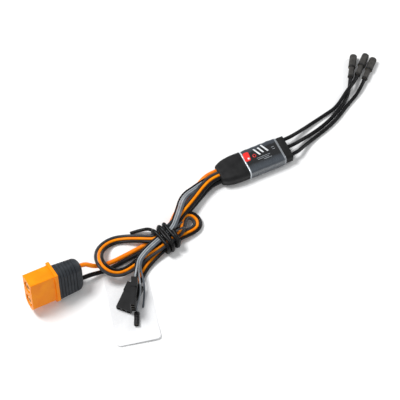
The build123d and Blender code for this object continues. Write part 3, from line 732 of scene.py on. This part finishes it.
band_elements[0].color = (0.06, 0.072, 0.088, 1)
band_elements[1].position = 0.2
band_elements[1].color = (0.035, 0.043, 0.053, 1)
for position, colour in ((0.28, (0.02, 0.024, 0.03, 1)), (0.33, (0.003, 0.0035, 0.0045, 1)),
                         (0.76, (0.003, 0.0035, 0.0045, 1)), (0.8, (0.03, 0.036, 0.045, 1)),
                         (1.0, (0.045, 0.055, 0.07, 1))):
    stop = band_elements.new(position)
    stop.color = colour
across_share = nodes.new("ShaderNodeMapRange")
across_share.label = "share of the width"
across_share.location = (-700, 150)
across_share.inputs["From Min"].default_value = -0.0065
across_share.inputs["From Max"].default_value = 0.0081
print_stop_and_highlight_band = nodes.new("ShaderNodeValToRGB")
print_stop_and_highlight_band.label = "where the print stops, and the painted highlight at the motor end"
print_stop_and_highlight_band.location = (-450, -150)
end_elements = print_stop_and_highlight_band.color_ramp.elements
end_elements[0].position = 0.028
end_elements[0].color = (1, 1, 1, 1)
end_elements[1].position = 0.04
end_elements[1].color = (0, 0, 0, 1)
# Motor end: a grey band of bare film, then a bright stripe at the very end that is a painted highlight on
# the film's rolled edge.
for position, shade in ((0.93, 0.0), (0.95, 0.4), (0.985, 0.3), (0.99, 0.9)):
    stop = end_elements.new(position)
    stop.color = (shade, shade, shade, 1)
along_share = nodes.new("ShaderNodeMapRange")
along_share.label = "share of the length"
along_share.location = (-700, -150)
along_share.inputs["From Min"].default_value = low.x
along_share.inputs["From Max"].default_value = high.x
# The pale film colour gives the rim at the boot end and the painted highlight at the motor end.
bare = nodes.new("ShaderNodeMix")
bare.label = "pale bare film, and painted highlight"
bare.data_type = "RGBA"
bare.location = (-100, 50)
bare.inputs["B"].default_value = (0.62, 0.66, 0.7, 1)
scuff_frame = nodes.new("NodeFrame")
scuff_frame.label = "scuffs and dents"
scuff = nodes.new("ShaderNodeTexNoise")
scuff.label = "scuffs"
scuff.location = (-700, -450)
scuff.inputs["Scale"].default_value = 900
scuff.inputs["Detail"].default_value = 6
scuff.inputs["Distortion"].default_value = 1.5
scuff_dull = nodes.new("ShaderNodeMapRange")
scuff_dull.label = "scuffs are duller"
scuff_dull.location = (-450, -450)
scuff_dull.inputs["From Min"].default_value = 0.45
scuff_dull.inputs["From Max"].default_value = 0.75
scuff_dull.inputs["To Min"].default_value = 0.16
scuff_dull.inputs["To Max"].default_value = 0.4
dents = nodes.new("ShaderNodeTexNoise")
dents.label = "film drawn over the parts below"
dents.location = (-700, -700)
dents.inputs["Scale"].default_value = 210
dents.inputs["Detail"].default_value = 1
dent_height = nodes.new("ShaderNodeBump")
dent_height.label = "depth of the dents"
dent_height.location = (-450, -700)
dent_height.inputs["Strength"].default_value = 0.7
dent_height.inputs["Distance"].default_value = 0.00025
for node in (smear, wander, across_band, across_share, print_stop_and_highlight_band, along_share, bare):
    node.parent = print_frame
for node in (scuff, scuff_dull, dents, dent_height):
    node.parent = scuff_frame
links.new(place.outputs["Object"], axes.inputs["Vector"])
links.new(place.outputs["Object"], smear.inputs["Vector"])
links.new(place.outputs["Object"], scuff.inputs["Vector"])
links.new(place.outputs["Object"], dents.inputs["Vector"])
links.new(smear.outputs["Fac"], wander.inputs[0])
links.new(axes.outputs["Y"], wander.inputs[2])
links.new(wander.outputs["Value"], across_share.inputs["Value"])
links.new(across_share.outputs["Result"], across_band.inputs["Fac"])
links.new(axes.outputs["X"], along_share.inputs["Value"])
links.new(along_share.outputs["Result"], print_stop_and_highlight_band.inputs["Fac"])
links.new(across_band.outputs["Color"], bare.inputs["A"])
links.new(print_stop_and_highlight_band.outputs["Color"], bare.inputs["Factor"])
links.new(bare.outputs["Result"], gloss.inputs["Base Color"])
links.new(scuff.outputs["Fac"], scuff_dull.inputs["Value"])
links.new(scuff_dull.outputs["Result"], gloss.inputs["Roughness"])
links.new(dents.outputs["Fac"], dent_height.inputs["Height"])
links.new(dent_height.outputs["Normal"], gloss.inputs["Normal"])
links.new(dent_height.outputs["Normal"], gloss.inputs["Coat Normal"])
film.data.materials.append(printed)
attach(film, "root")
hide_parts("heat_shrink_sleeve")

# ---------------------------------------------------------------- printed marks
# Plain marks in red, white and grey ink on the label: a rounded tile with a dot, a ring, three
# slanted bars and a few rules. They are general shapes, with no letters.


def ink(name, colour, thin):
    """Screen printed ink: full colour with thin patches where the mesh showed."""
    material = bpy.data.materials.new(name)
    material.use_nodes = True
    nodes, links = material.node_tree.nodes, material.node_tree.links
    layer = nodes["Principled BSDF"]
    layer.label = "ink under film"
    layer.inputs["Roughness"].default_value = 0.3
    layer.inputs["Coat Weight"].default_value = 0.8
    layer.inputs["Coat Roughness"].default_value = 0.1
    place = nodes.new("ShaderNodeTexCoord")
    place.label = "place on the label"
    place.location = (-900, 0)
    patch = nodes.new("ShaderNodeTexNoise")
    patch.label = "thin patches"
    patch.location = (-650, 0)
    patch.inputs["Scale"].default_value = 1100
    patch.inputs["Detail"].default_value = 3
    tone = nodes.new("ShaderNodeValToRGB")
    tone.label = "thin to full ink"
    tone.location = (-350, 0)
    tone.color_ramp.elements[0].position = 0.3
    tone.color_ramp.elements[0].color = (*thin, 1)
    tone.color_ramp.elements[1].position = 0.55
    tone.color_ramp.elements[1].color = (*colour, 1)
    links.new(place.outputs["Object"], patch.inputs["Vector"])
    links.new(patch.outputs["Fac"], tone.inputs["Fac"])
    links.new(tone.outputs["Color"], layer.inputs["Base Color"])
    return material


label_height = high.z + 0.00001
ink_thickness = 0.00003


def mark(name, x, y, width, height, slant, rounding, material, lift=0.0):
    """A flat printed mark: a rectangle, slanted or rounded, with a hair's thickness."""
    bpy.ops.object.select_all(action="DESELECT")
    bpy.ops.mesh.primitive_plane_add(size=1, location=(x, y, label_height + lift))
    shape = bpy.context.object
    shape.name = name
    shape.scale = (width, height, 1)
    bpy.ops.object.transform_apply(location=True, rotation=True, scale=True)
    edit(shape)
    mesh = bmesh.from_edit_mesh(shape.data)
    for vertex in mesh.verts:
        vertex.co.x += slant * (vertex.co.y - y)
    bmesh.update_edit_mesh(shape.data)
    bpy.ops.mesh.select_all(action="SELECT")
    bpy.ops.mesh.bevel(offset=rounding, segments=6, affect="VERTICES")
    bpy.ops.mesh.select_all(action="SELECT")
    bpy.ops.mesh.extrude_region_move(TRANSFORM_OT_translate={"value": (0, 0, ink_thickness)})
    bpy.ops.mesh.select_all(action="SELECT")
    bpy.ops.mesh.normals_make_consistent(inside=False)
    bpy.ops.object.mode_set(mode="OBJECT")
    shape.data.materials.append(material)
    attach(shape, "root")


red_ink = ink("red ink", (0.9, 0.02, 0.015), (0.6, 0.015, 0.012))
white_ink = ink("white ink", (0.85, 0.87, 0.88), (0.5, 0.53, 0.56))
grey_ink = ink("grey ink", (0.3, 0.32, 0.34), (0.12, 0.13, 0.15))
mark("red_tile", -0.0027, 0.0022, 0.0032, 0.0052, 0.1, 0.0009, red_ink)
mark("tile_dot", -0.0022, 0.0009, 0.0011, 0.0011, 0.0, 0.0005, white_ink, 0.00004)
bar_width = 0.0009
bar_slant = -0.45
bars = [(0.0032, 0.0028, 0.0042), (0.0054, 0.0031, 0.0036), (0.0077, 0.0034, 0.0046)]
for i, (x, y, height) in enumerate(bars):
    mark(f"white_bar_{i}", x, y, bar_width, height, bar_slant, 0.00018, white_ink)
rule_height = 0.00028
rules = [(0.0052, -0.0007, 0.0074), (0.0048, -0.0016, 0.0062), (0.0069, -0.0025, 0.0046),
         (0.0118, 0.0022, 0.0016), (0.0119, 0.0010, 0.0014)]
for i, (x, y, width) in enumerate(rules):
    mark(f"grey_rule_{i}", x, y, width, rule_height, 0.0, 0.0001, grey_ink)
bpy.ops.object.select_all(action="DESELECT")
bpy.ops.mesh.primitive_torus_add(
    location=(0.0011, 0.0013, label_height + 0.00001), major_radius=0.0008, minor_radius=0.00014,
    major_segments=36, minor_segments=8)
ring_mark = bpy.context.object
ring_mark.name = "red_ring"
bpy.ops.object.transform_apply(location=True, rotation=True, scale=True)
edit(ring_mark)
bpy.ops.mesh.select_all(action="SELECT")
bpy.ops.transform.resize(value=(1, 1, 0.2), center_override=(0, 0, label_height))
bpy.ops.object.mode_set(mode="OBJECT")
ring_mark.data.materials.append(red_ink)
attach(ring_mark, "root")

# ---------------------------------------------------------------- end seals
# Black sealant fills the sleeve's motor end and the boot's narrow end. It is poured round the
# wires, so it is lumpy, dull and a little dusty. These keep their made shapes.
sealant = shrunk("black sealant", (0.007, 0.007, 0.007), (0.018, 0.018, 0.017), 0.62, 0.00012, 420)
coat(["motor_end_seal", "boot_seal"], sealant)

# ---------------------------------------------------------------- capacitor boot
# A wide piece of soft black shrink rubber, drawn down over two capacitors lying side by side
# and then over the leads, so it bulges, dips between the cans and puckers at its mouth.
low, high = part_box("capacitor_boot")
boot_profile = [(-0.0192, 0.0100, 0.0059, 0.0037), (-0.0182, 0.0110, 0.0062, 0.00365),
                (-0.0165, 0.0126, 0.0068, 0.0035), (-0.0140, 0.0138, 0.0071, 0.00355),
                (-0.0105, 0.0146, 0.0072, 0.0036), (-0.0070, 0.0147, 0.0071, 0.00355),
                (-0.0050, 0.0146, 0.0069, 0.00345)]
first_width, first_height = boot_profile[-1][1:3]
bpy.ops.object.select_all(action="DESELECT")
bpy.ops.mesh.primitive_cube_add(
    size=1, location=((low.x + high.x) / 2, 0, 0), scale=(high.x - low.x, first_width, first_height))
boot = bpy.context.object
boot.name = "shrunk_boot"
bpy.ops.object.transform_apply(location=True, rotation=True, scale=True)
edit(boot)
pick(boot, "EDGE", along_x)
boot_rounding = 0.0022
bpy.ops.mesh.bevel(offset=boot_rounding, offset_type="OFFSET", segments=7, affect="EDGES")
pick(boot, "FACE", lambda face: abs(face.normal.x) > 0.9)
bpy.ops.mesh.delete(type="FACE")
pick(boot, "EDGE", lambda edge: not along_x(edge) and edge.calc_length() > 0.0015)
bpy.ops.mesh.subdivide(number_cuts=9)
pick(boot, "EDGE", along_x)
bpy.ops.mesh.subdivide(number_cuts=26)
shape = bmesh.from_edit_mesh(boot.data)
for vertex in shape.verts:
    x = vertex.co.x
    for near, far in zip(boot_profile, boot_profile[1:]):
        if near[0] - 1e-7 <= x <= far[0] + 1e-7:
            share = (x - near[0]) / (far[0] - near[0])
            width, height, middle = (a + (b - a) * share for a, b in zip(near[1:], far[1:]))
    y = vertex.co.y * width / first_width
    z = vertex.co.z * height / first_height
    over_cans = math.exp(-((x + 0.0098) / 0.0042) ** 2)
    dip = math.exp(-(y / 0.0012) ** 2) * over_cans
    around = math.atan2(z, y)
    pucker = 0.00016 * math.sin(7 * around + 1.3) * math.exp(-((x + 0.0186) / 0.0016) ** 2)
    lip = 0.00018 * math.exp(-((x + 0.0052) / 0.0004) ** 2)
    out = Vector((0, y, z)).normalized() * (pucker + lip)
    if z > 0:
        z -= 0.00035 * dip
    vertex.co.y = y + out.y
    vertex.co.z = max(middle + z + out.z, 0.00002)
bmesh.update_edit_mesh(boot.data)
bpy.ops.object.mode_set(mode="OBJECT")
rubber_thickness = 0.00055
thicken(boot, rubber_thickness, 60)
boot.data.materials.append(
    shrunk("soft black boot", (0.008, 0.008, 0.0085), (0.018, 0.018, 0.019), 0.5, 0.0002, 190))
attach(boot, "root")
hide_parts("capacitor_boot")

# ---------------------------------------------------------------- battery connector
# An orange nylon housing, moulded with a flange and two round shrouds, pushed into a ribbed
# grey rubber boot. A gold plated split contact stands in each shroud.


def moulded(name, colour, deep, roughness, grain, sheen):
    """Injection moulded plastic: a faint flow pattern, spark-eroded grain and polished and dull rubs."""
    material = bpy.data.materials.new(name)
    material.use_nodes = True
    nodes, links = material.node_tree.nodes, material.node_tree.links
    plastic = nodes["Principled BSDF"]
    plastic.label = "moulded plastic"
    plastic.location = (400, 0)
    plastic.inputs["Specular IOR Level"].default_value = 0.2
    plastic.inputs["Sheen Weight"].default_value = sheen
    place = nodes.new("ShaderNodeTexCoord")
    place.label = "place on the moulding"
    place.location = (-1100, 0)

    colour_frame = nodes.new("NodeFrame")
    colour_frame.label = "colour of the moulding"
    flow = nodes.new("ShaderNodeTexNoise")
    flow.label = "flow of the melt"
    flow.location = (-800, 250)
    flow.inputs["Scale"].default_value = 120
    flow.inputs["Detail"].default_value = 3
    flow.inputs["Distortion"].default_value = 1.2
    tone = nodes.new("ShaderNodeValToRGB")
    tone.label = "deep to full colour"
    tone.location = (-500, 250)
    tone.color_ramp.elements[0].position = 0.3
    tone.color_ramp.elements[0].color = (*deep, 1)
    tone.color_ramp.elements[1].position = 0.7
    tone.color_ramp.elements[1].color = (*colour, 1)

    grain_frame = nodes.new("NodeFrame")
    grain_frame.label = "grain and rubs"
    spark = nodes.new("ShaderNodeTexNoise")
    spark.label = "grain from the mould"
    spark.location = (-800, -200)
    spark.inputs["Scale"].default_value = 4200
    spark.inputs["Detail"].default_value = 2
    relief = nodes.new("ShaderNodeBump")
    relief.label = "grain depth"
    relief.location = (-450, -200)
    relief.inputs["Strength"].default_value = 0.5
    relief.inputs["Distance"].default_value = grain
    rub = nodes.new("ShaderNodeMapRange")
    rub.label = "polished and dull patches"
    rub.location = (-450, 0)
    rub.inputs["To Min"].default_value = roughness - 0.1
    rub.inputs["To Max"].default_value = roughness + 0.12
    for node in (flow, tone):
        node.parent = colour_frame
    for node in (spark, relief, rub):
        node.parent = grain_frame

    links.new(place.outputs["Object"], flow.inputs["Vector"])
    links.new(place.outputs["Object"], spark.inputs["Vector"])
    links.new(flow.outputs["Fac"], tone.inputs["Fac"])
    links.new(tone.outputs["Color"], plastic.inputs["Base Color"])
    links.new(flow.outputs["Fac"], rub.inputs["Value"])
    links.new(rub.outputs["Result"], plastic.inputs["Roughness"])
    links.new(spark.outputs["Fac"], relief.inputs["Height"])
    links.new(relief.outputs["Normal"], plastic.inputs["Normal"])
    return material


orange_nylon = moulded("orange nylon", (1.0, 0.32, 0.0), (0.93, 0.24, 0.0), 0.42, 0.00002, 0.0)
boot_rubber = shrunk(
    "grey boot rubber", (0.024, 0.028, 0.033), (0.045, 0.051, 0.059), 0.5, 0.00006, 260)
coat(["connector_housing"], orange_nylon)
coat(["connector_boot"], boot_rubber)
coat(["battery_contact_positive", "battery_contact_negative"], gold)

# ---------------------------------------------------------------- flat plugs and round end
# Two black three-way plugs, moulded flat to key one way up, and the short ribbed end of one
# thin wire. Their spring contacts are folded from gold plated strip.
black_moulding = moulded(
    "black moulding", (0.008, 0.008, 0.009), (0.005, 0.005, 0.0055), 0.4, 0.00002, 0.04)
coat(["throttle_plug_housing", "auxiliary_plug_housing", "single_plug_housing"], black_moulding)
coat(["throttle_plug_contacts", "auxiliary_plug_contacts", "single_plug_contact"], gold)

# ---------------------------------------------------------------- boards and parts inside
# Two glass-fibre boards with chips, capacitors and pins, hidden by the sleeve and the boot.
# They keep their made shapes, and each gets its own finish.
laminate = moulded("solder masked board", (0.015, 0.09, 0.045), (0.008, 0.05, 0.025), 0.35, 0.00001, 0.0)
epoxy = moulded("chip epoxy", (0.018, 0.018, 0.02), (0.01, 0.01, 0.011), 0.55, 0.00002, 0.0)
fired = moulded("fired ceramic", (0.42, 0.3, 0.18), (0.3, 0.2, 0.12), 0.5, 0.00001, 0.0)
drawn = plated("drawn aluminium", (0.8, 0.8, 0.82), (0.6, 0.6, 0.63), 0.3, 300)
tinned = plated("tinned copper", (0.85, 0.72, 0.6), (0.6, 0.42, 0.3), 0.35, 900)
pad_rubber = shrunk("heat pad", (0.3, 0.34, 0.38), (0.4, 0.44, 0.48), 0.7, 0.00003, 400)
inside_finishes = [
    (laminate, ["power_board", "control_board"]),
    (epoxy, ["mosfets", "controller_chip", "gate_drivers", "voltage_regulators",
             "regulator_inductor", "resistors"]),
    (fired, ["ceramic_capacitors"]),
    (drawn, ["capacitor_cans", "heat_spreader"]),
    (tinned, ["board_pins", "capacitor_legs", "motor_wire_ends", "battery_wire_ends", "signal_wire_ends",
              "connector_wire_ends", "bullet_wire_ends"]),
    (pad_rubber, ["thermal_pad"]),
    (sealant, ["capacitor_bungs"]),
]
for material, names in inside_finishes:
    coat(names, material)

# ---------------------------------------------------------------- paper tag
# A blank white card tag under the plugs, die cut with round corners. It has dried with one
# free corner a little raised.
tag_corner = Vector((-0.1023, -0.0632, 0.0))
tag_turn = math.radians(-13)
tag_width, tag_length, tag_thickness = 0.0215, 0.0385, 0.00025
tag_rounding = 0.002
bpy.ops.object.select_all(action="DESELECT")
bpy.ops.mesh.primitive_grid_add(x_subdivisions=24, y_subdivisions=40, size=1, location=(0.5, 0.5, 0))
tag = bpy.context.object
tag.name = "card_tag"
bpy.ops.object.transform_apply(location=True, rotation=True, scale=True)
edit(tag)
shape = bmesh.from_edit_mesh(tag.data)
for vertex in shape.verts:
    x, y = vertex.co.x * tag_width, vertex.co.y * tag_length
    corner_x = min(max(x, tag_rounding), tag_width - tag_rounding)
    corner_y = min(max(y, tag_rounding), tag_length - tag_rounding)
    from_corner = Vector((x - corner_x, y - corner_y))
    if from_corner.length > tag_rounding:
        from_corner = from_corner.normalized() * tag_rounding
        x, y = corner_x + from_corner.x, corner_y + from_corner.y
    rise = 0.0011 * max(0, 1 - y / 0.012) ** 2 * (0.4 + 0.6 * x / tag_width)
    vertex.co = (x, y, 0.00003 + rise)
bmesh.update_edit_mesh(tag.data)
bpy.ops.object.mode_set(mode="OBJECT")
card = tag.modifiers.new("card thickness", "SOLIDIFY")
card.thickness = tag_thickness
card.offset = 1
bpy.ops.object.modifier_apply(modifier="card thickness")
tag.data.transform(Matrix.Translation(tag_corner) @ Matrix.Rotation(tag_turn, 4, "Z"))
bpy.ops.object.shade_smooth_by_angle(angle=math.radians(40))
pulp = bpy.data.materials.new("white card")
pulp.use_nodes = True
nodes, links = pulp.node_tree.nodes, pulp.node_tree.links
paper = nodes["Principled BSDF"]
paper.label = "uncoated card"
paper.location = (300, 0)
paper.inputs["Roughness"].default_value = 0.85
paper.inputs["Specular IOR Level"].default_value = 0.2
place = nodes.new("ShaderNodeTexCoord")
place.label = "place on the card"
place.location = (-900, 0)
fibre = nodes.new("ShaderNodeTexNoise")
fibre.label = "paper fibres"
fibre.location = (-650, 0)
fibre.inputs["Scale"].default_value = 1500
fibre.inputs["Detail"].default_value = 5
# The card's own grey-white, darker where the tooth bump is low: painted shade between the fibres.
shade = nodes.new("ShaderNodeValToRGB")
shade.label = "card tone, painted shade between fibres"
shade.location = (-350, 100)
shade.color_ramp.elements[0].color = (0.76, 0.765, 0.78, 1)
shade.color_ramp.elements[1].color = (0.88, 0.885, 0.89, 1)
tooth = nodes.new("ShaderNodeBump")
tooth.label = "tooth of the card"
tooth.location = (-350, -200)
tooth.inputs["Strength"].default_value = 0.4
tooth.inputs["Distance"].default_value = 0.00002
links.new(place.outputs["Object"], fibre.inputs["Vector"])
links.new(fibre.outputs["Fac"], shade.inputs["Fac"])
links.new(fibre.outputs["Fac"], tooth.inputs["Height"])
links.new(shade.outputs["Color"], paper.inputs["Base Color"])
links.new(tooth.outputs["Normal"], paper.inputs["Normal"])
tag.data.materials.append(pulp)
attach(tag, "root")
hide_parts("paper_tag")
